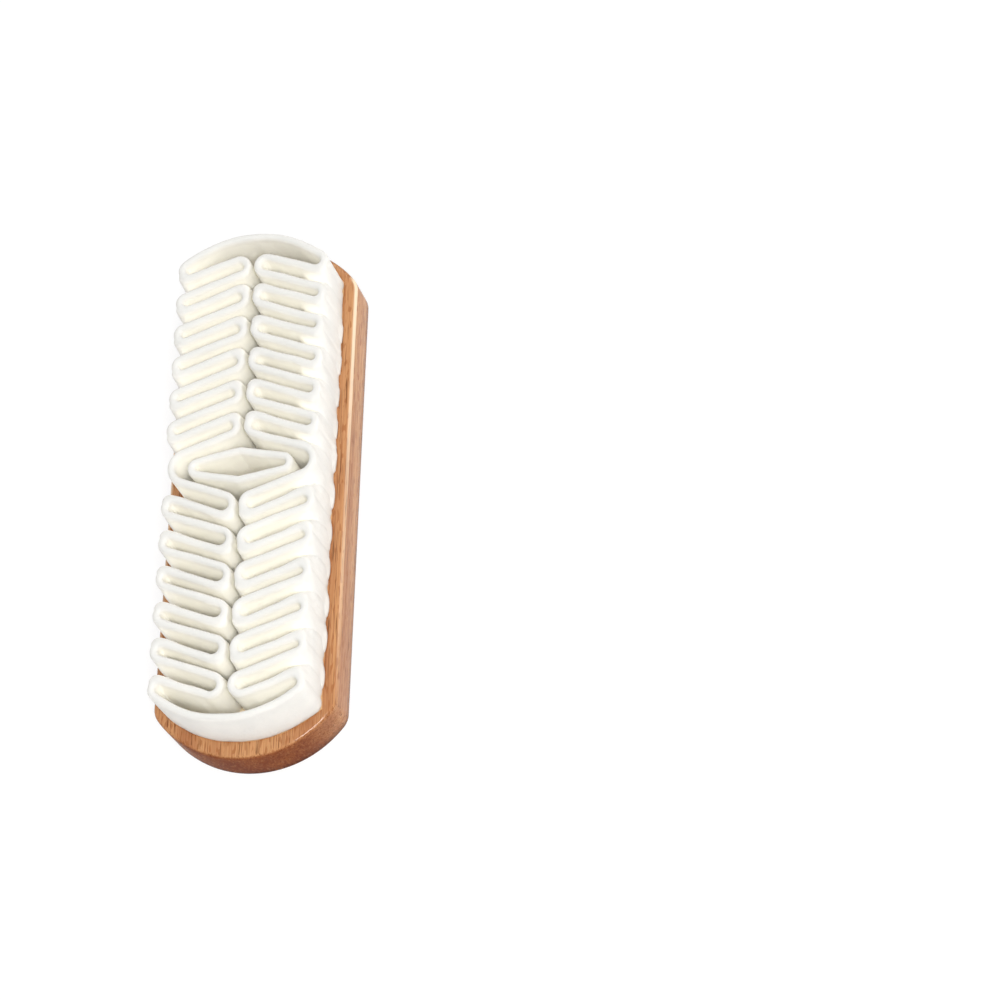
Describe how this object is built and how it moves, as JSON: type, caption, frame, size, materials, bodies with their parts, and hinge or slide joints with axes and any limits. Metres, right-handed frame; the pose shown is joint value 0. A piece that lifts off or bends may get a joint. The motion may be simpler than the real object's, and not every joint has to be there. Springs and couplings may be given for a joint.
{
  "type": "crepe suede brush",
  "caption": "Flat oblong beech block with a pad of natural crepe rubber: one strip folded to and fro on edge in a chevron pattern round a small closed ring.",
  "frame": {"origin": "centre of the flat back of the block, the face that the brush lies on", "axes": "+X along the block to the end with the closer folds, +Y across the block to its left side seen from the crepe with +X up, +Z out of the back and up through the block to the crepe"},
  "size_m": [0.12, 0.04, 0.025],
  "materials": {
    "lacquered_beech": "gloss",
    "dried_glue": "satin",
    "natural_crepe": "matte"
  },
  "bodies": {
    "root": {"beech_block": "lacquered_beech", "glue_bed": "dried_glue", "crepe_strip": "natural_crepe", "crepe_ring": "natural_crepe"}
  },
  "joints": []
}
